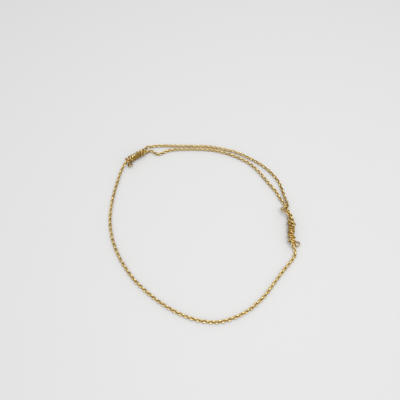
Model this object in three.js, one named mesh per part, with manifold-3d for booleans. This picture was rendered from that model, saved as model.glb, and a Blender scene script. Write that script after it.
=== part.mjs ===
// A fine cable-chain bracelet lying on a flat surface. One length of chain is tied into an adjustable
// loop: each of its ends is wound round the other strand as a sliding knot, so a single strand runs
// round the front, two strands run side by side round the back, and each chain end carries a small
// jump ring that lies beside its knot.
//
// Units are millimetres, +Z is up and the surface is z = 0. The origin is on that surface, in the
// middle of the loop. The chain is modelled by its outer form, a tube with eight flat sides, and each
// knot by one solid that shows its windings.

import * as THREE from "three";
import { mergeVertices } from "three/addons/utils/BufferGeometryUtils.js";
import Module from "manifold-3d";

const chainWidth = 1.1; // across the links
const ringWire = 0.36;
const ringDiameter = 1.9; // outside
const ringTilt = 28; // degrees: the ring leans on the last link that it holds
const gap = 0.3; // between one piece of the chain and the next

const tubeSides = 8;
const runStep = 3; // length of one straight piece of tube in a free run
const knotStep = 0.85; // the same in a knot
const lowestCentre = chainWidth / 2 + 0.07; // of a winding where the surface holds it up
const samplesPerTurn = 8; // route points in one turn of a winding
const lengthSamples = 24; // steps that measure the route from one of its points to the next

const metal = { color: 0xd2a05a, roughness: 0.24, metalness: 1 };
const up = new THREE.Vector3(0, 0, 1);

// The free runs, in the chain's own order. Columns: x, y and how high the strand is lifted above one
// that lies on the surface.
const backInnerRun = [
  [-18.1, 28.6, 0],
  [-16.9, 27.7, 0],
  [-15.8, 27.3, 0],
  [-14.4, 27.9, 0],
  [-13, 28.6, 0],
  [-10.7, 29.3, 0],
  [-6.6, 29.55, 0],
  [-1.6, 29.55, 0],
  [3, 29.2, 0],
  [7.7, 28, 0],
  [12.2, 26, 0],
  [16.1, 23.5, 0],
  [19.2, 20, 0],
  [22, 15.6, 0],
  [24.5, 11.7, 0],
  [25.5, 9.3, 0],
];
const frontRun = [
  [28.3, -9.9, 0.1],
  [28.1, -10.8, 0],
  [27.4, -12.1, 0],
  [24.1, -15.9, 0],
  [20.9, -19.8, 0],
  [17.2, -24.2, 0],
  [12.9, -27.7, 0],
  [8.5, -29.9, 0],
  [4.3, -31, 0],
  [-0.2, -30.8, 0],
  [-5.7, -29.2, 0],
  [-11.4, -26.2, 0],
  [-16.7, -22.3, 0],
  [-21, -18.2, 0],
  [-24.6, -13.4, 0],
  [-27.2, -8.7, 0],
  [-29, -3.8, 0],
  [-30, 1.5, 0],
  [-30.1, 7, 0],
  [-29.6, 12.6, 0],
  [-28.9, 17.1, 0],
  [-28.5, 19.2, 0.05],
];
const backOuterRun = [
  [-20.4, 30, 0.3],
  [-18.8, 30.6, 0.07],
  [-16.7, 31, 0],
  [-14.3, 31.1, 0],
  [-9.1, 31, 0],
  [-3.5, 30.95, 0],
  [1.9, 30.7, 0],
  [6.9, 29.7, 0],
  [11.8, 28.2, 0],
  [16.2, 25.8, 0],
  [20.1, 23, 0],
  [23.5, 19.5, 0],
  [25.9, 15.4, 0],
  [26.7, 12.2, 0],
  [27.2, 9.6, 0.03],
];

// A knot is a winding strand round a core strand. Its axis runs from the double strand to the single
// one, and its tables follow both strands the same way. The two leads are the free strands' last
// stretches before the turns, in the same columns as the runs. Columns of a row: turns wound so far,
// the distance along the axis, the reach from the axis out to the winding strand, the shift of the
// core strand off the axis to the other side, and the lift of the axis above a strand that lies down.
const leftKnot = {
  axis: [
    [-20.1, 28.4],
    [-21.5, 27.4],
    [-23.7, 26],
    [-25.3, 24.7],
    [-26.4, 23.5],
    [-27.3, 22.6],
    [-27.9, 21.5],
  ],
  inward: 1, // 1 where the loop's middle is on the left of the axis, -1 where it is on the right
  startAngle: 0, // degrees from the inward side, up over the core
  spin: -1, // 1 winds upwards on the inward side, -1 downwards
  lead: [
    [-19.3, 28.7, 0.1],
  ],
  coreLead: [],
  rows: [
    { turns: 0, along: 0, reach: 0.5, shift: 0.6, lift: 0.15 },
    { turns: 0.25, along: 0.4, reach: 0.7, shift: 0.35, lift: 0.5 },
    { turns: 0.5, along: 0.8, reach: 0.8, shift: 0.15, lift: 0.7 },
    { turns: 1, along: 1.5, reach: 0.8, shift: 0, lift: 0.82 },
    { turns: 2, along: 2.7, reach: 0.76, shift: 0.1, lift: 0.8 },
    { turns: 3, along: 3.8, reach: 0.84, shift: 0, lift: 0.86 },
    { turns: 4, along: 4.9, reach: 0.78, shift: 0.1, lift: 0.82 },
    { turns: 5, along: 5.9, reach: 0.86, shift: 0, lift: 0.86 },
    { turns: 6, along: 6.9, reach: 0.8, shift: 0.05, lift: 0.84 },
    { turns: 6.5, along: 7.6, reach: 0.8, shift: 0.05, lift: 0.84 },
    { turns: 6.75, along: 7.9, reach: 0.8, shift: 0.1, lift: 0.8 },
  ],
  coreEnd: [
    { along: 8.7, lift: 0.75 },
    { along: 9.7, lift: 0.45 },
  ],
  ring: [-25.35, 22.5],
};
const rightKnot = {
  axis: [
    [27.5, 6.1],
    [27.6, 4.3],
    [27.8, 2.4],
    [28.1, 0.2],
    [28.1, -1.5],
    [27.6, -3.6],
    [27.5, -5.3],
    [27.5, -6.7],
    [27.7, -7.9],
    [28.1, -9],
  ],
  inward: -1,
  startAngle: 120,
  spin: 1,
  lead: [
    [27.5, 7.9, 0.25],
    [27.7, 6.7, 0.6],
    [27.5, 5.8, 0.8],
    [26.6, 5.2, 0.8],
    [25.5, 4.85, 0.75],
    [25.6, 4.2, 1.15],
    [26.6, 3.4, 1.55],
    [27.4, 2.6, 1.7],
  ],
  coreLead: [
    [26.2, 7.9, 0.05],
    [26.9, 6.7, 0],
    [27.4, 5.5, 0],
    [27.7, 4.1, 0.1],
  ],
  rows: [
    { turns: 0, along: 3.9, reach: 0.45, shift: 0.1, lift: 0.95 },
    { turns: 0.625, along: 4.8, reach: 0.55, shift: 0.1, lift: 0.9 },
    { turns: 1, along: 5.3, reach: 0.65, shift: 0.1, lift: 0.9 },
    { turns: 1.375, along: 5.8, reach: 0.85, shift: 0, lift: 0.9 },
    { turns: 1.625, along: 6.3, reach: 1.05, shift: 0, lift: 0.9 },
    { turns: 2, along: 6.9, reach: 0.82, shift: 0, lift: 0.88 },
    { turns: 3, along: 8.1, reach: 0.78, shift: 0.05, lift: 0.86 },
    { turns: 4, along: 9.2, reach: 0.7, shift: 0.1, lift: 0.8 },
    { turns: 5, along: 10.3, reach: 0.66, shift: 0.1, lift: 0.78 },
    { turns: 6, along: 11.5, reach: 0.76, shift: 0.05, lift: 0.82 },
    { turns: 6.625, along: 12.6, reach: 0.82, shift: 0.1, lift: 0.84 },
    { turns: 7, along: 13.1, reach: 0.85, shift: 0.15, lift: 0.8 },
  ],
  coreEnd: [
    { along: 13.9, lift: 0.6 },
    { along: 14.8, lift: 0.3 },
  ],
  ring: [29.2, -7.35],
};

const solids = await Module();
solids.setup();

// A route point from its table row: the strand's centre is half its width above the surface.
const strandPoint = ([x, y, lift]) => new THREE.Vector3(x, y, chainWidth / 2 + lift);

// The table's row at a number of turns, by straight lines between the rows.
function rowAt(rows, turns) {
  const next = Math.max(1, rows.findIndex((row) => row.turns >= turns));
  const a = rows[next - 1];
  const b = rows[next];
  const share = (turns - a.turns) / (b.turns - a.turns);
  const between = (column) => THREE.MathUtils.lerp(a[column], b[column], share);
  return { along: between("along"), reach: between("reach"), shift: between("shift"), lift: between("lift") };
}

// The centres of a knot's winding strand and core strand, both from the double strand to the single one.
function windKnot(knot) {
  const axis = new THREE.CatmullRomCurve3(knot.axis.map(([x, y]) => new THREE.Vector3(x, y, 0)));
  const axisLength = axis.getLength();
  const onAxis = (along, lift) =>
    axis.getPointAt(along / axisLength).addScaledVector(up, chainWidth / 2 + lift);

  const winding = knot.lead.map(strandPoint);
  const core = knot.coreLead.map(strandPoint);
  const samples = Math.round(knot.rows.at(-1).turns * samplesPerTurn);
  for (let i = 0; i <= samples; i++) {
    const turns = i / samplesPerTurn;
    const { along, reach, shift, lift } = rowAt(knot.rows, turns);
    const inward = up.clone().cross(axis.getTangentAt(along / axisLength)).multiplyScalar(knot.inward);
    const angle = THREE.MathUtils.degToRad(knot.startAngle + knot.spin * 360 * turns);
    const out = inward.multiplyScalar(Math.cos(angle)).addScaledVector(up, Math.sin(angle));
    const centre = onAxis(along, lift);
    const wound = centre.clone().addScaledVector(out, reach);
    wound.z = Math.max(wound.z, lowestCentre);
    winding.push(wound);
    if (i % (samplesPerTurn / 2) === 0) core.push(centre.addScaledVector(out, -shift));
  }
  knot.coreEnd.forEach(({ along, lift }) => core.push(onAxis(along, lift)));
  return { winding, core };
}

// The whole chain from one end to the other, as named sections of one smooth curve.
function layRoute() {
  const left = windKnot(leftKnot);
  const right = windKnot(rightKnot);
  const ends = { left: left.winding.at(-1), right: right.winding.at(-1) };
  const sections = [
    ["left_winding", left.winding.reverse()],
    ["back_inner_run", backInnerRun.map(strandPoint)],
    ["right_core", right.core],
    ["front_run", frontRun.map(strandPoint)],
    ["left_core", left.core.reverse()],
    ["back_outer_run", backOuterRun.map(strandPoint)],
    ["right_winding", right.winding],
  ];
  const points = sections.flatMap(([, part]) => part);
  const curve = new THREE.CatmullRomCurve3(points, false, "centripetal");
  curve.arcLengthDivisions = (points.length - 1) * lengthSamples;
  const lengths = curve.getLengths();

  // A section starts and ends half way to its neighbours' nearest points, less half the gap.
  const spans = {};
  let first = 0;
  for (const [name, part] of sections) {
    const last = first + part.length - 1;
    const from = first === 0 ? 0 : lengths[(first - 0.5) * lengthSamples] + gap / 2;
    const to =
      last === points.length - 1 ? lengths.at(-1) : lengths[(last + 0.5) * lengthSamples] - gap / 2;
    spans[name] = { from, to };
    first = last + 1;
  }
  return { curve, spans, ends, length: lengths.at(-1) };
}

const route = layRoute();

// One section of the route. Its frames stay level, so a flat side of the tube is always underneath.
class Section extends THREE.Curve {
  constructor({ from, to }) {
    super();
    this.from = from / route.length;
    this.to = to / route.length;
    this.size = to - from;
  }

  getPoint(t) {
    return route.curve.getPointAt(THREE.MathUtils.lerp(this.from, this.to, t));
  }

  computeFrenetFrames(steps) {
    const frames = { tangents: [], normals: [], binormals: [] };
    for (let i = 0; i <= steps; i++) {
      const tangent = this.getTangentAt(i / steps);
      const normal = up.clone().cross(tangent).normalize();
      frames.tangents.push(tangent);
      frames.normals.push(normal);
      frames.binormals.push(tangent.clone().cross(normal));
    }
    return frames;
  }
}

// A round section with flat sides, one of them level.
function tubeSection() {
  const halfSide = Math.PI / tubeSides;
  const cornerRadius = chainWidth / 2 / Math.cos(halfSide);
  const corners = Array.from({ length: tubeSides }, (_, i) => {
    const angle = (2 * i + 1) * halfSide;
    return new THREE.Vector2(Math.cos(angle), Math.sin(angle)).multiplyScalar(cornerRadius);
  });
  return new THREE.Shape(corners);
}

function tube(sectionName, step) {
  const path = new Section(route.spans[sectionName]);
  const steps = Math.ceil(path.size / step);
  return new THREE.ExtrudeGeometry(tubeSection(), { steps, extrudePath: path });
}

function toSolid(geometry) {
  geometry.deleteAttribute("normal");
  geometry.deleteAttribute("uv");
  const merged = mergeVertices(geometry);
  return new solids.Manifold(
    new solids.Mesh({
      numProp: 3,
      vertProperties: merged.attributes.position.array,
      triVerts: new Uint32Array(merged.index.array),
    }),
  );
}

function toGeometry(solid) {
  const mesh = solid.getMesh();
  return new THREE.BufferGeometry()
    .setAttribute("position", new THREE.BufferAttribute(mesh.vertProperties, 3))
    .setIndex(new THREE.BufferAttribute(mesh.triVerts, 1));
}

// A knot's core and winding press into each other, so they are one solid. Only its outer shell is
// kept, since a pocket may be closed off between two turns.
function knotGeometry(side) {
  const core = toSolid(tube(`${side}_core`, runStep / 2));
  const winding = toSolid(tube(`${side}_winding`, knotStep));
  const shells = core.add(winding).decompose();
  shells.sort((a, b) => b.volume() - a.volume());
  return toGeometry(shells[0]);
}

const bracelet = new THREE.Group();
const chainMetal = new THREE.MeshStandardMaterial(metal);
const ringMetal = new THREE.MeshStandardMaterial({ ...metal, roughness: 0.18 });

function addPiece(name, geometry, material = chainMetal) {
  const piece = new THREE.Mesh(geometry, material);
  piece.name = name;
  bracelet.add(piece);
  return piece;
}

// A ring that lies on the surface and leans up towards the chain's end.
function addEndRing(name, [x, y], chainEnd) {
  const wireRadius = ringWire / 2;
  const hoopRadius = ringDiameter / 2 - wireRadius;
  const ring = addPiece(name, new THREE.TorusGeometry(hoopRadius, wireRadius, 6, 16), ringMetal);
  const lean = THREE.MathUtils.degToRad(ringTilt);
  const pull = new THREE.Vector3(chainEnd.x - x, chainEnd.y - y, 0).normalize();
  ring.quaternion.setFromAxisAngle(pull.clone().cross(up), -lean);
  ring.position.set(x, y, wireRadius + hoopRadius * Math.sin(lean));
}

["front_run", "back_inner_run", "back_outer_run"].forEach((name) => addPiece(name, tube(name, runStep)));
["left", "right"].forEach((side) => addPiece(`${side}_knot`, knotGeometry(side)));
addEndRing("left_end_ring", leftKnot.ring, route.ends.left);
addEndRing("right_end_ring", rightKnot.ring, route.ends.right);

export default bracelet;
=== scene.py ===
import math

import bpy
from mathutils import Matrix, Vector


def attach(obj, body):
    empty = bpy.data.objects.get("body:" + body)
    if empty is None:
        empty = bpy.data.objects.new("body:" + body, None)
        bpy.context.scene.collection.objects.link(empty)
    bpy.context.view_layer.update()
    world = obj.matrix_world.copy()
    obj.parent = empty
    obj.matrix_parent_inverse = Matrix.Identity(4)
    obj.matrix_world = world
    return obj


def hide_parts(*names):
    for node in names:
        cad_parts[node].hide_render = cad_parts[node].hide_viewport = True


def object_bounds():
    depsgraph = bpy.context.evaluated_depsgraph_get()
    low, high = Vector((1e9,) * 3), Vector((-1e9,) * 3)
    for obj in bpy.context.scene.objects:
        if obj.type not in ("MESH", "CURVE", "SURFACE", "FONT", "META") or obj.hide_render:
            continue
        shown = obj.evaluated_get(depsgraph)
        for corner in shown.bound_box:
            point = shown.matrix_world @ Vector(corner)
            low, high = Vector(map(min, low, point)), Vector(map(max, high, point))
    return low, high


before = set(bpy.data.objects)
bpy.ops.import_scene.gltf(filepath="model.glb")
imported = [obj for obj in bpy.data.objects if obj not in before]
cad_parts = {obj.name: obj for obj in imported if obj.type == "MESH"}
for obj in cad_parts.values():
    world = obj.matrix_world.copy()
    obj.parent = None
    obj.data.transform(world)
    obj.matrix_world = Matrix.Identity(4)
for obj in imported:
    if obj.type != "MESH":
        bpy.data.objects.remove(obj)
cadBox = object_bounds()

mm = 0.001
up = Vector((0, 0, 1))


def linearColour(hexText):
    shares = [int(hexText[i:i + 2], 16) / 255 for i in (1, 3, 5)]
    return [c / 12.92 if c <= 0.04045 else ((c + 0.055) / 1.055) ** 2.4 for c in shares] + [1]


# Adds a node with its settings. An input is a value, a socket, or a node for its first output.
def addNode(tree, kind, inputs=None, **settings):
    node = tree.nodes.new(kind)
    for name, value in settings.items():
        setattr(node, name, value)
    for key, value in (inputs or {}).items():
        byName = [s for s in node.inputs if s.enabled and s.name == key]
        socket = byName[0] if byName else node.inputs[key]
        if isinstance(value, bpy.types.Node):
            value = next(s for s in value.outputs if s.enabled)
        if isinstance(value, bpy.types.NodeSocket):
            tree.links.new(value, socket)
        else:
            socket.default_value = value
    return node


view = {
    "target": (-1, 8.8, 0),  # mm
    "elevation": 60,  # degrees above the table
    "distance": 129.5,  # mm
    "lens": 35,  # mm, focal length
    "nearest": 10,  # mm; nothing nearer is drawn
}


def addCamera():
    tilt = math.radians(view["elevation"])
    back = Vector((0, -math.cos(tilt), math.sin(tilt)))
    camera = bpy.data.objects.new("camera", bpy.data.cameras.new("camera"))
    camera.data.lens = view["lens"]
    camera.data.clip_start = view["nearest"] * mm
    camera.location = (Vector(view["target"]) + back * view["distance"]) * mm
    camera.rotation_euler = (math.pi / 2 - tilt, 0, 0)
    bpy.context.scene.collection.objects.link(camera)
    bpy.context.scene.camera = camera


addCamera()
print("camera in place")

goldPlate = {
    "pale": "#F8E294",
    "warm": "#DDB84C",
    "shadeAndTarnishColour": "#8A5306",  # painted shade in the crevices and along the chain's middle line; also the rings' tarnish
    "clouds": 4,  # mm across the patches where the plating's tone changes
    "crevice": 0.4,  # mm from a surface that still shades it, for the painted crevice shade
    "creviceSamples": 8,
    "openness": (0.1, 0.7),  # share of open sky where the painted shade is full, and where it ends
    "roughness": 0.16,
    "smoother": 0.05,  # how far the tumbling marks take the roughness down
    "rougher": 0.08,  # and up
    "tumbleMarks": 0.15,  # mm between the fine marks that tumbling leaves
    "markRange": (0.3, 0.7),  # part of the marks' noise that counts
    "markDepth": 0.01,  # mm
    "markStrength": 0.15,
}


# Gold-plated brass, drawn wire soldered into links and tumbled bright. It mirrors its surroundings
# in a warm yellow, a little paler or deeper from link to link, with painted shade in deep brown
# inside.
def goldPlatedBrass():
    shadeFull, shadeGone = goldPlate["openness"]
    marksLow, marksHigh = goldPlate["markRange"]
    metal = bpy.data.materials.new("goldPlatedBrassTumbled")
    metal.use_nodes = True
    tree = metal.node_tree
    tree.nodes.clear()
    place = addNode(tree, "ShaderNodeTexCoord").outputs["Object"]
    tone = addNode(tree, "ShaderNodeAttribute", attribute_name="tone").outputs["Fac"]
    shadeAndTarnish = addNode(tree, "ShaderNodeAttribute", attribute_name="shadeAndTarnish").outputs["Fac"]
    marks = addNode(tree, "ShaderNodeTexNoise", {
        "Vector": place, "Scale": 1 / (goldPlate["tumbleMarks"] * mm), "Detail": 3.0,
    })
    clouds = addNode(tree, "ShaderNodeTexNoise", {
        "Vector": place, "Scale": 1 / (goldPlate["clouds"] * mm), "Detail": 1.0,
    })
    tint = addNode(tree, "ShaderNodeMath", {
        0: tone, 1: clouds.outputs["Fac"],
    }, operation="MULTIPLY")
    plate = addNode(tree, "ShaderNodeMix", {
        "Factor": tint, "A": linearColour(goldPlate["pale"]), "B": linearColour(goldPlate["warm"]),
    }, data_type="RGBA")
    # painted shade: the colour turns deep brown where the AO node finds little open sky, between
    # the links
    openness = addNode(tree, "ShaderNodeAmbientOcclusion", {
        "Distance": goldPlate["crevice"] * mm,
    }, samples=goldPlate["creviceSamples"])
    creviceShade = addNode(tree, "ShaderNodeMapRange", {
        "Value": openness.outputs["AO"], "From Min": shadeFull, "From Max": shadeGone,
        "To Min": 1.0, "To Max": 0.0,
    })
    shadeAndTarnishShare = addNode(tree, "ShaderNodeMath", {0: shadeAndTarnish, 1: creviceShade}, operation="MAXIMUM")
    colour = addNode(tree, "ShaderNodeMix", {
        "Factor": shadeAndTarnishShare, "A": plate, "B": linearColour(goldPlate["shadeAndTarnishColour"]),
    }, data_type="RGBA")
    rough = addNode(tree, "ShaderNodeMapRange", {
        "Value": marks.outputs["Fac"], "From Min": marksLow, "From Max": marksHigh,
        "To Min": goldPlate["roughness"] - goldPlate["smoother"],
        "To Max": goldPlate["roughness"] + goldPlate["rougher"],
    })
    dents = addNode(tree, "ShaderNodeBump", {
        "Height": marks.outputs["Fac"], "Strength": goldPlate["markStrength"],
        "Distance": goldPlate["markDepth"] * mm,
    })
    shader = addNode(tree, "ShaderNodeBsdfPrincipled", {
        "Base Color": colour, "Metallic": 1.0, "Roughness": rough, "Normal": dents,
    })
    addNode(tree, "ShaderNodeOutputMaterial", {"Surface": shader})
    return metal


metal = goldPlatedBrass()
print("metal ready")

# Free strands in the chain's own order: x, y, lift above lying flat, and the roll of the even links
# from lying flat. Millimetres and degrees.
backInnerRun = [
    (-18.1, 28.6, 0, 0),
    (-16.9, 27.7, 0, 0),
    (-15.8, 27.3, 0, 0),
    (-14.4, 27.9, 0, 5),
    (-13, 28.6, 0, 15),
    (-10.7, 29.3, 0, 28),
    (-6.6, 29.55, 0, 35),
    (-1.6, 29.55, 0, 35),
    (3, 29.2, 0, 35),
    (7.7, 28, 0, 30),
    (12.2, 26, 0, 20),
    (16.1, 23.5, 0, 15),
    (19.2, 20, 0, 15),
    (22, 15.6, 0, 15),
    (24.5, 11.7, 0, 8),
    (25.5, 9.3, 0, 0),
]
frontRun = [
    (28.3, -9.9, 0.1, 0),
    (28.1, -10.8, 0, 0),
    (27.4, -12.1, 0, 0),
    (24.1, -15.9, 0, 0),
    (20.9, -19.8, 0, 0),
    (17.2, -24.2, 0, 10),
    (12.9, -27.7, 0, 15),
    (8.5, -29.9, 0, 20),
    (4.3, -31, 0, 20),
    (-0.2, -30.8, 0, 20),
    (-5.7, -29.2, 0, 20),
    (-11.4, -26.2, 0, 18),
    (-16.7, -22.3, 0, 15),
    (-21, -18.2, 0, 10),
    (-24.6, -13.4, 0, 5),
    (-27.2, -8.7, 0, 0),
    (-29, -3.8, 0, 0),
    (-30, 1.5, 0, 0),
    (-30.1, 7, 0, 0),
    (-29.6, 12.6, 0, 0),
    (-28.9, 17.1, 0, 0),
    (-28.5, 19.2, 0.05, 0),
]
backOuterRun = [
    (-20.4, 30, 0.3, 0),
    (-18.8, 30.6, 0.07, -5),
    (-16.7, 31, 0, -20),
    (-14.3, 31.1, 0, -35),
    (-9.1, 31, 0, -50),
    (-3.5, 30.95, 0, -50),
    (1.9, 30.7, 0, -50),
    (6.9, 29.7, 0, -45),
    (11.8, 28.2, 0, -35),
    (16.2, 25.8, 0, -30),
    (20.1, 23, 0, -30),
    (23.5, 19.5, 0, -30),
    (25.9, 15.4, 0, -20),
    (26.7, 12.2, 0, -10),
    (27.2, 9.6, 0.03, 0),
]

# A knot's axis runs from the double strand to the single one. The leads are the strands' last
# stretches before the turns: x, y, lift. Rows: turns wound so far, distance along the axis, reach
# out to the winding strand, shift of the core the other way, lift. The core ends with distance
# along the axis and lift. Millimetres.
leftKnot = {
    "axis": [
        (-20.1, 28.4),
        (-21.5, 27.4),
        (-23.7, 26),
        (-25.3, 24.7),
        (-26.4, 23.5),
        (-27.3, 22.6),
        (-27.9, 21.5),
    ],
    "inward": 1,  # 1 where the loop's middle is on the left of the axis, -1 on the right
    "startAngle": 0,  # degrees from the inward side, up over the core
    "spin": -1,  # 1 winds upwards on the inward side, -1 downwards
    "lead": [(-19.3, 28.7, 0.1)],
    "coreLead": [],
    "rows": [
        (0, 0, 0.5, 0.6, 0.15),
        (0.25, 0.4, 0.7, 0.35, 0.5),
        (0.5, 0.8, 0.8, 0.15, 0.7),
        (1, 1.5, 0.8, 0, 0.82),
        (2, 2.7, 0.76, 0.1, 0.8),
        (3, 3.8, 0.84, 0, 0.86),
        (4, 4.9, 0.78, 0.1, 0.82),
        (5, 5.9, 0.86, 0, 0.86),
        (6, 6.9, 0.8, 0.05, 0.84),
        (6.5, 7.6, 0.8, 0.05, 0.84),
        (6.75, 7.9, 0.8, 0.1, 0.8),
    ],
    "coreEnd": [(8.7, 0.75), (9.7, 0.45)],
    "ring": (-25.35, 22.5),  # where the end ring lies
}
rightKnot = {
    "axis": [
        (27.5, 6.1),
        (27.6, 4.3),
        (27.8, 2.4),
        (28.1, 0.2),
        (28.1, -1.5),
        (27.6, -3.6),
        (27.5, -5.3),
        (27.5, -6.7),
        (27.7, -7.9),
        (28.1, -9),
    ],
    "inward": -1,
    "startAngle": 120,
    "spin": 1,
    "lead": [
        (27.5, 7.9, 0.25),
        (27.7, 6.7, 0.6),
        (27.5, 5.8, 0.8),
        (26.6, 5.2, 0.8),
        (25.5, 4.85, 0.75),
        (25.6, 4.2, 1.15),
        (26.6, 3.4, 1.55),
        (27.4, 2.6, 1.7),
    ],
    "coreLead": [(26.2, 7.9, 0.05), (26.9, 6.7, 0), (27.4, 5.5, 0), (27.7, 4.1, 0.1)],
    "rows": [
        (0, 3.9, 0.45, 0.1, 0.95),
        (0.625, 4.8, 0.55, 0.1, 0.9),
        (1, 5.3, 0.65, 0.1, 0.9),
        (1.375, 5.8, 0.85, 0, 0.9),
        (1.625, 6.3, 1.05, 0, 0.9),
        (2, 6.9, 0.82, 0, 0.88),
        (3, 8.1, 0.78, 0.05, 0.86),
        (4, 9.2, 0.7, 0.1, 0.8),
        (5, 10.3, 0.66, 0.1, 0.78),
        (6, 11.5, 0.76, 0.05, 0.82),
        (6.625, 12.6, 0.82, 0.1, 0.84),
        (7, 13.1, 0.85, 0.15, 0.8),
    ],
    "coreEnd": [(13.9, 0.6), (14.8, 0.3)],
    "ring": (29.2, -7.35),
}

chain = {
    "pitch": 0.9,  # mm from one link to the next
    "linkLength": 1.54,  # mm outside
    "linkWidth": 1.08,  # mm outside
    "wire": 0.32,  # mm
    "corners": 12,  # round one link
    "wireSides": 6,
    "looseness": 5,  # degrees that a link may sit off its place
    "knotLooseness": 12,  # the same in the winding strands
    "seed": 4,
}
endRing = {
    "diameter": 1.9,  # mm outside
    "wire": 0.36,  # mm
    "slit": 0.03,  # mm where the ring's ends meet
    "arcPoints": 40,
    "wireSides": 12,
    "tarnish": 0.6,  # share of the deep brown colour all over, as tarnish
    "lean": 28,  # degrees that the last link lifts it
    "hold": 0.82,  # mm across from the ring's middle to the last link's
    "lift": 0.25,  # mm that the last link is above one lying down
}
route = {
    "lie": 0.55,  # mm, height of a lying strand's middle
    "leastRise": 0.05,  # mm that a winding stays above that
    "samplesPerTurn": 8,  # points in one turn of a winding
    "step": 0.15,  # mm between the points of the whole chain's line
    "axisStep": 0.2,  # mm, the same along a knot's axis
    "lookAlong": 0.1,  # mm either way that gives the axis its direction
}


# A smooth line through points, and the place in it of each of them
def smoothLine(points, step):
    ends = [2 * points[0] - points[1], *points, 2 * points[-1] - points[-2]]
    line, marks = [], []
    for p0, p1, p2, p3 in zip(ends, ends[1:], ends[2:], ends[3:]):
        d0, d1, d2 = [math.sqrt((b - a).length) for a, b in ((p0, p1), (p1, p2), (p2, p3))]
        leave = d1 * ((p1 - p0) / d0 - (p2 - p0) / (d0 + d1) + (p2 - p1) / d1)
        arrive = d1 * ((p2 - p1) / d1 - (p3 - p1) / (d1 + d2) + (p3 - p2) / d2)
        marks.append(len(line))
        count = max(2, round((p2 - p1).length / step))
        for t in [i / count for i in range(count)]:
            line.append(
                (2 * t**3 - 3 * t**2 + 1) * p1 + (t**3 - 2 * t**2 + t) * leave
                + (3 * t**2 - 2 * t**3) * p2 + (t**3 - t**2) * arrive
            )
    marks.append(len(line))
    line.append(points[-1])
    return line, marks


def lengthsAlong(line):
    lengths = [0.0]
    for a, b in zip(line, line[1:]):
        lengths.append(lengths[-1] + (b - a).length)
    return lengths


# The value at x on the straight lines through values ys at xs, which go on past both ends
def between(xs, ys, x):
    i = next((i for i, limit in enumerate(xs) if limit >= x), len(xs) - 1)
    i = max(1, i)
    share = (x - xs[i - 1]) / (xs[i] - xs[i - 1])
    return ys[i - 1] + (ys[i] - ys[i - 1]) * share


# A free strand as pairs of place and facing, the way that the even links' flat sides look
def layRun(rows):
    places = [Vector((x, y, route["lie"] + lift)) for x, y, lift, _ in rows]
    pairs = []
    for i, (*_, roll) in enumerate(rows):
        along = (places[min(i + 1, len(rows) - 1)] - places[max(i - 1, 0)]).normalized()
        pairs.append((places[i], Matrix.Rotation(math.radians(roll), 3, along) @ up))
    return pairs


# A knot's winding and core strands as such pairs, and the way from its end ring to the last turn
def windKnot(knot):
    lie, perTurn, look = route["lie"], route["samplesPerTurn"], route["lookAlong"]
    axis, _ = smoothLine([Vector((x, y, lie)) for x, y in knot["axis"]], route["axisStep"])
    lengths = lengthsAlong(axis)
    turnsColumn, alongColumn, reachColumn, shiftColumn, liftColumn = zip(*knot["rows"])
    winding = [(Vector((x, y, lie + lift)), up) for x, y, lift in knot["lead"]]
    core = [(Vector((x, y, lie + lift)), up) for x, y, lift in knot["coreLead"]]
    for i in range(round(turnsColumn[-1] * perTurn) + 1):
        turns = i / perTurn
        along, reach, shift, lift = [
            between(turnsColumn, column, turns)
            for column in (alongColumn, reachColumn, shiftColumn, liftColumn)
        ]
        centre = between(lengths, axis, along) + up * lift
        ahead = between(lengths, axis, along + look) - between(lengths, axis, along - look)
        inward = up.cross(ahead).normalized() * knot["inward"]
        angle = math.radians(knot["startAngle"] + knot["spin"] * 360 * turns)
        out = inward * math.cos(angle) + up * math.sin(angle)
        wound = centre + out * reach
        wound.z = max(wound.z, lie + route["leastRise"])
        winding.append((wound, out))
        if i % (perTurn // 2) == 0:
            core.append((centre - out * shift, up))
    core += [(between(lengths, axis, along) + up * lift, up) for along, lift in knot["coreEnd"]]

    # the last link stands on edge round the ring's wire
    ring = Vector((*knot["ring"], lie + endRing["lift"]))
    pull = winding[-1][0] - ring
    pull.z = 0
    pull.normalize()
    winding.append((ring + pull * endRing["hold"], up.cross(pull)))
    return winding, core, pull


# The whole chain's line from ring to ring, the number of its links and which of them each piece has
def layChain():
    leftWinding, leftCore, leftPull = windKnot(leftKnot)
    rightWinding, rightCore, rightPull = windKnot(rightKnot)
    sections = {
        "leftWinding": leftWinding[::-1],
        "backInner": layRun(backInnerRun),
        "rightCore": rightCore,
        "front": layRun(frontRun),
        "leftCore": leftCore[::-1],
        "backOuter": layRun(backOuterRun),
        "rightWinding": rightWinding,
    }
    pairs = [pair for section in sections.values() for pair in section]
    line, marks = smoothLine([place for place, _ in pairs], route["step"])
    lengths = lengthsAlong(line)
    facings = [pairs[0][1]]
    for _, facing in pairs[1:]:  # a link looks the same half a turn round
        facings.append(facing if facing.dot(facings[-1]) >= 0 else -facing)
    marked = [lengths[m] for m in marks]
    allFacings = [between(marked, facings, s) for s in lengths]

    # an odd number, so that both end links stand on edge
    linkCount = 2 * round(lengths[-1] / chain["pitch"] / 2) + 1
    spacing = lengths[-1] / (linkCount - 1)
    spans, first = {}, 0
    for name, section in sections.items():
        last = first + len(section) - 1
        start = 0 if first == 0 else math.ceil((marked[first - 1] + marked[first]) / 2 / spacing)
        if last == len(pairs) - 1:
            end = linkCount - 1
        else:
            end = math.ceil((marked[last] + marked[last + 1]) / 2 / spacing) - 1
        spans[name] = (start, end)
        first = last + 1

    path = bpy.data.meshes.new("chainPath")
    path.from_pydata([p * mm for p in line], [(i, i + 1) for i in range(len(line) - 1)], [])
    attribute = path.attributes.new("facing", "FLOAT_VECTOR", "POINT")
    components = [c for facing in allFacings for c in facing.normalized()]
    attribute.data.foreach_set("vector", components)
    print(f"chain laid: {lengths[-1]:.1f} mm, {linkCount} links")
    return path, linkCount, spans, (leftPull, rightPull)


path, linkCount, spans, pulls = layChain()


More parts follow.
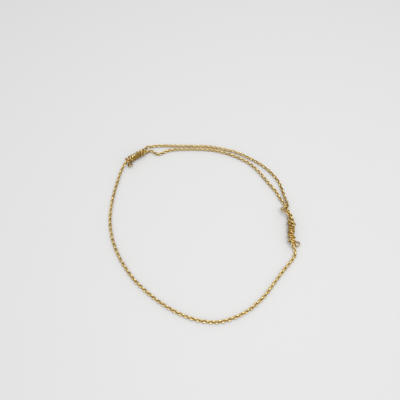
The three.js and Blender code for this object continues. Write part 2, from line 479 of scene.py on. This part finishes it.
def newTree(name, sockets):
    tree = bpy.data.node_groups.new(name, "GeometryNodeTree")
    for label, kind in sockets:
        tree.interface.new_socket(label, in_out="INPUT", socket_type=kind)
    tree.interface.new_socket("Geometry", in_out="OUTPUT", socket_type="NodeSocketGeometry")
    return tree, tree.nodes.new("NodeGroupInput").outputs


def linkTree():
    tree, given = newTree("cableLinks", [
        ("Path", "NodeSocketGeometry"),
        ("Link Count", "NodeSocketInt"),
        ("First Link", "NodeSocketInt"),
        ("Last Link", "NodeSocketInt"),
        ("Link Length", "NodeSocketFloat"),
        ("Link Width", "NodeSocketFloat"),
        ("Wire", "NodeSocketFloat"),
        ("Looseness", "NodeSocketFloat"),
        ("Seed", "NodeSocketInt"),
        ("Metal", "NodeSocketMaterial"),
    ])

    # one link: a ring of wire, turned so that no corner is at X = 0, and drawn out along X
    hoop = addNode(tree, "ShaderNodeMath", {
        0: given["Link Width"], 1: given["Wire"],
    }, operation="SUBTRACT")
    hoopRadius = addNode(tree, "ShaderNodeMath", {0: hoop, 1: 2.0}, operation="DIVIDE")
    circle = addNode(tree, "GeometryNodeCurvePrimitiveCircle", {
        "Resolution": chain["corners"], "Radius": hoopRadius,
    })
    turned = addNode(tree, "GeometryNodeTransform", {
        "Geometry": circle, "Rotation": (0, 0, math.pi / chain["corners"]),
    })
    place = addNode(tree, "GeometryNodeInputPosition")
    parts = addNode(tree, "ShaderNodeSeparateXYZ", {"Vector": place})
    side = addNode(tree, "ShaderNodeMath", {0: parts.outputs["X"]}, operation="SIGN")
    stretch = addNode(tree, "ShaderNodeMath", {
        0: given["Link Length"], 1: given["Link Width"],
    }, operation="SUBTRACT")
    half = addNode(tree, "ShaderNodeMath", {0: stretch, 1: 2.0}, operation="DIVIDE")
    push = addNode(tree, "ShaderNodeMath", {0: side, 1: half}, operation="MULTIPLY")
    offset = addNode(tree, "ShaderNodeCombineXYZ", {"X": push})
    oval = addNode(tree, "GeometryNodeSetPosition", {"Geometry": turned, "Offset": offset})
    wireRadius = addNode(tree, "ShaderNodeMath", {0: given["Wire"], 1: 2.0}, operation="DIVIDE")
    wire = addNode(tree, "GeometryNodeCurvePrimitiveCircle", {
        "Resolution": chain["wireSides"], "Radius": wireRadius,
    })
    swept = addNode(tree, "GeometryNodeCurveToMesh", {"Curve": oval, "Profile Curve": wire})

    # painted shade: darker towards the chain's middle line, where the links overlap and shade each
    # other
    sweptPlace = addNode(tree, "GeometryNodeInputPosition")
    sweptParts = addNode(tree, "ShaderNodeSeparateXYZ", {"Vector": sweptPlace})
    across = addNode(tree, "ShaderNodeCombineXYZ", {
        "Y": sweptParts.outputs["Y"], "Z": sweptParts.outputs["Z"],
    })
    depth = addNode(tree, "ShaderNodeVectorMath", {0: across}, operation="LENGTH")
    halfWidth = addNode(tree, "ShaderNodeMath", {
        0: given["Link Width"], 1: 2.0,
    }, operation="DIVIDE")
    shadeAndTarnish = addNode(tree, "ShaderNodeMapRange", {
        "Value": depth.outputs["Value"], "From Min": wireRadius, "From Max": halfWidth,
        "To Min": 1.0, "To Max": 0.0,
    })
    link = addNode(tree, "GeometryNodeStoreNamedAttribute", {
        "Geometry": swept, "Name": "shadeAndTarnish", "Value": shadeAndTarnish,
    }, data_type="FLOAT", domain="POINT")
    smooth = addNode(tree, "GeometryNodeSetShadeSmooth", {"Geometry": link})

    # places along the chain; each link lies across the one before
    curve = addNode(tree, "GeometryNodeMeshToCurve", {"Mesh": given["Path"]})
    spaced = addNode(tree, "GeometryNodeResampleCurve", {
        "Curve": curve, "Count": given["Link Count"],
    })
    index = addNode(tree, "GeometryNodeInputIndex")
    afterFirst = addNode(tree, "FunctionNodeCompare", {
        "A": index, "B": given["First Link"],
    }, data_type="INT", operation="GREATER_EQUAL")
    beforeLast = addNode(tree, "FunctionNodeCompare", {
        "A": index, "B": given["Last Link"],
    }, data_type="INT", operation="LESS_EQUAL")
    chosen = addNode(tree, "FunctionNodeBooleanMath", {
        0: afterFirst, 1: beforeLast,
    }, operation="AND")
    tangent = addNode(tree, "GeometryNodeInputTangent")
    facing = addNode(tree, "GeometryNodeInputNamedAttribute", {
        "Name": "facing",
    }, data_type="FLOAT_VECTOR")
    laid = addNode(tree, "FunctionNodeAxesToRotation", {
        "Primary Axis": tangent, "Secondary Axis": facing,
    }, primary_axis="X", secondary_axis="Z")
    odd = addNode(tree, "ShaderNodeMath", {0: index, 1: 2.0}, operation="MODULO")
    quarter = addNode(tree, "ShaderNodeMath", {0: odd, 1: math.pi / 2}, operation="MULTIPLY")
    onEdge = addNode(tree, "FunctionNodeAxisAngleToRotation", {"Axis": (1, 0, 0), "Angle": quarter})
    crossed = addNode(tree, "FunctionNodeRotateRotation", {
        "Rotation": laid, "Rotate By": onEdge,
    }, rotation_space="LOCAL")
    backward = addNode(tree, "ShaderNodeMath", {
        0: given["Looseness"], 1: -1.0,
    }, operation="MULTIPLY")
    low = addNode(tree, "ShaderNodeCombineXYZ", {"X": backward, "Y": backward, "Z": backward})
    high = addNode(tree, "ShaderNodeCombineXYZ", {
        "X": given["Looseness"], "Y": given["Looseness"], "Z": given["Looseness"],
    })
    wobble = addNode(tree, "FunctionNodeRandomValue", {
        "Min": low, "Max": high, "ID": index, "Seed": given["Seed"],
    }, data_type="FLOAT_VECTOR")
    loose = addNode(tree, "FunctionNodeEulerToRotation", {"Euler": wobble})
    rotation = addNode(tree, "FunctionNodeRotateRotation", {
        "Rotation": crossed, "Rotate By": loose,
    }, rotation_space="LOCAL")
    links = addNode(tree, "GeometryNodeInstanceOnPoints", {
        "Points": spaced, "Selection": chosen, "Instance": smooth, "Rotation": rotation,
    })
    tone = addNode(tree, "FunctionNodeRandomValue", {
        "Min": 0.0, "Max": 1.0, "Seed": given["Seed"],
    }, data_type="FLOAT")
    toned = addNode(tree, "GeometryNodeStoreNamedAttribute", {
        "Geometry": links, "Name": "tone", "Value": tone,
    }, data_type="FLOAT", domain="INSTANCE")
    real = addNode(tree, "GeometryNodeRealizeInstances", {"Geometry": toned})
    done = addNode(tree, "GeometryNodeSetMaterial", {"Geometry": real, "Material": given["Metal"]})
    addNode(tree, "NodeGroupOutput", {"Geometry": done})
    return tree


# Runs a tree on a mesh and keeps the result as a plain mesh
def runTree(name, mesh, tree, values):
    source = bpy.data.objects.new(name + "Source", mesh)
    bpy.context.scene.collection.objects.link(source)
    modifier = source.modifiers.new(tree.name, "NODES")
    modifier.node_group = tree
    for item in tree.interface.items_tree:
        if item.in_out == "INPUT" and item.name in values:
            modifier[item.identifier] = values[item.name]
    evaluated = source.evaluated_get(bpy.context.evaluated_depsgraph_get())
    made = bpy.data.meshes.new_from_object(evaluated)
    bpy.data.objects.remove(source)
    piece = bpy.data.objects.new(name, made)
    bpy.context.scene.collection.objects.link(piece)
    return piece


cableLinks = linkTree()
linkSizes = {
    "Link Count": linkCount,
    "Link Length": chain["linkLength"] * mm,
    "Link Width": chain["linkWidth"] * mm,
    "Wire": chain["wire"] * mm,
    "Seed": chain["seed"],
    "Metal": metal,
}
chainPieces = {
    "chain_front": ("front", "front_run"),
    "chain_back_inner": ("backInner", "back_inner_run"),
    "chain_back_outer": ("backOuter", "back_outer_run"),
    "left_knot_core": ("leftCore", "left_knot"),
    "left_knot_winding": ("leftWinding", "left_knot"),
    "right_knot_core": ("rightCore", "right_knot"),
    "right_knot_winding": ("rightWinding", "right_knot"),
}
for name, (section, node) in chainPieces.items():
    first, last = spans[section]
    loose = chain["knotLooseness"] if section.endswith("Winding") else chain["looseness"]
    piece = runTree(name, path, cableLinks, {
        **linkSizes, "First Link": first, "Last Link": last, "Looseness": math.radians(loose),
    })
    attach(piece, "root")
    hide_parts(node)
    print(f"{name}: {last - first + 1} links")


def ringTree():
    tree, given = newTree("jumpRing", [
        ("Diameter", "NodeSocketFloat"),
        ("Wire", "NodeSocketFloat"),
        ("Slit", "NodeSocketFloat"),
        ("Tarnish", "NodeSocketFloat"),
        ("Metal", "NodeSocketMaterial"),
    ])
    hoop = addNode(tree, "ShaderNodeMath", {
        0: given["Diameter"], 1: given["Wire"],
    }, operation="SUBTRACT")
    radius = addNode(tree, "ShaderNodeMath", {0: hoop, 1: 2.0}, operation="DIVIDE")
    opening = addNode(tree, "ShaderNodeMath", {0: given["Slit"], 1: radius}, operation="DIVIDE")
    sweep = addNode(tree, "ShaderNodeMath", {0: 2 * math.pi, 1: opening}, operation="SUBTRACT")
    arc = addNode(tree, "GeometryNodeCurveArc", {
        "Resolution": endRing["arcPoints"], "Radius": radius, "Sweep Angle": sweep,
    })
    wireRadius = addNode(tree, "ShaderNodeMath", {0: given["Wire"], 1: 2.0}, operation="DIVIDE")
    wire = addNode(tree, "GeometryNodeCurvePrimitiveCircle", {
        "Resolution": endRing["wireSides"], "Radius": wireRadius,
    })
    swept = addNode(tree, "GeometryNodeCurveToMesh", {
        "Curve": arc, "Profile Curve": wire, "Fill Caps": True,
    })
    dulled = addNode(tree, "GeometryNodeStoreNamedAttribute", {
        "Geometry": swept, "Name": "shadeAndTarnish", "Value": given["Tarnish"],
    }, data_type="FLOAT", domain="POINT")
    real = addNode(tree, "GeometryNodeRealizeInstances", {"Geometry": dulled})
    done = addNode(tree, "GeometryNodeSetMaterial", {"Geometry": real, "Material": given["Metal"]})
    addNode(tree, "NodeGroupOutput", {"Geometry": done})
    return tree


jumpRing = ringTree()
for name, node, knot, pull in (
    ("left_ring", "left_end_ring", leftKnot, pulls[0]),
    ("right_ring", "right_end_ring", rightKnot, pulls[1]),
):
    piece = runTree(name, bpy.data.meshes.new(name), jumpRing, {
        "Diameter": endRing["diameter"] * mm,
        "Wire": endRing["wire"] * mm,
        "Slit": endRing["slit"] * mm,
        "Tarnish": endRing["tarnish"],
        "Metal": metal,
    })
    centre = Vector((*knot["ring"], 0))
    lean = math.radians(endRing["lean"])
    centre.z = endRing["wire"] / 2 + (endRing["diameter"] - endRing["wire"]) / 2 * math.sin(lean)
    tip = Matrix.Rotation(-lean, 4, pull.cross(up))
    turn = Matrix.Rotation(math.atan2(-pull.y, -pull.x), 4, up)  # the slit away from the knot
    piece.data.transform(Matrix.Translation(centre * mm) @ tip @ turn)
    piece.data.shade_smooth()
    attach(piece, "root")
    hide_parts(node)
print("rings in place")

table = {
    "colour": "#CACACA",
    "roughness": 0.6,
    "reach": 3.0,  # m from the middle to each side
    "drop": 0.01,  # mm below the lowest point of the chain
}
studio = {
    "walls": 0.62,  # brightness of the room at the table's level
    "top": 0.95,  # and overhead
    "lean": 0.08,  # how much brighter the right side is
    "key": {
        "from": (0.12, 0, 1),  # almost overhead, a little to the right
        "distance": 0.36,  # m
        "size": 0.26,  # m
        "power": 0.74,  # W
    },
}


def addTable():
    mesh = bpy.data.meshes.new("table")
    reach, z = table["reach"], cadBox[0][2] - table["drop"] * mm
    corners = [(-reach, -reach, z), (reach, -reach, z), (reach, reach, z), (-reach, reach, z)]
    mesh.from_pydata(corners, [], [(0, 1, 2, 3)])
    floor = bpy.data.objects.new("table", mesh)
    bpy.context.scene.collection.objects.link(floor)
    card = bpy.data.materials.new("matCardWhite")
    card.use_nodes = True
    shader = card.node_tree.nodes["Principled BSDF"]
    shader.inputs["Base Color"].default_value = linearColour(table["colour"])
    shader.inputs["Roughness"].default_value = table["roughness"]
    mesh.materials.append(card)


def addSoftbox(name):
    box = studio[name]
    light = bpy.data.lights.new(name, "AREA")
    light.size = box["size"]
    light.energy = box["power"]
    lamp = bpy.data.objects.new(name, light)
    way = Vector(box["from"]).normalized()
    lamp.location = way * box["distance"]
    lamp.rotation_euler = way.to_track_quat("Z", "Y").to_euler()
    bpy.context.scene.collection.objects.link(lamp)


def addStudio():
    world = bpy.data.worlds.new("softTent")
    world.use_nodes = True
    tree = world.node_tree
    tree.nodes.clear()
    way = addNode(tree, "ShaderNodeTexCoord").outputs["Generated"]
    parts = addNode(tree, "ShaderNodeSeparateXYZ", {"Vector": way})
    height = addNode(tree, "ShaderNodeMapRange", {
        "Value": parts.outputs["Z"], "From Min": 0.0, "From Max": 1.0,
        "To Min": studio["walls"], "To Max": studio["top"],
    })
    right = addNode(tree, "ShaderNodeMath", {
        0: parts.outputs["X"], 1: studio["lean"], 2: 1.0,
    }, operation="MULTIPLY_ADD")
    strength = addNode(tree, "ShaderNodeMath", {0: height, 1: right}, operation="MULTIPLY")
    sky = addNode(tree, "ShaderNodeBackground", {"Color": (1, 1, 1, 1), "Strength": strength})
    addNode(tree, "ShaderNodeOutputWorld", {"Surface": sky})
    bpy.context.scene.world = world


addTable()
addSoftbox("key")
addStudio()
bpy.context.scene.view_settings.view_transform = "Standard"
print("table and light in place")
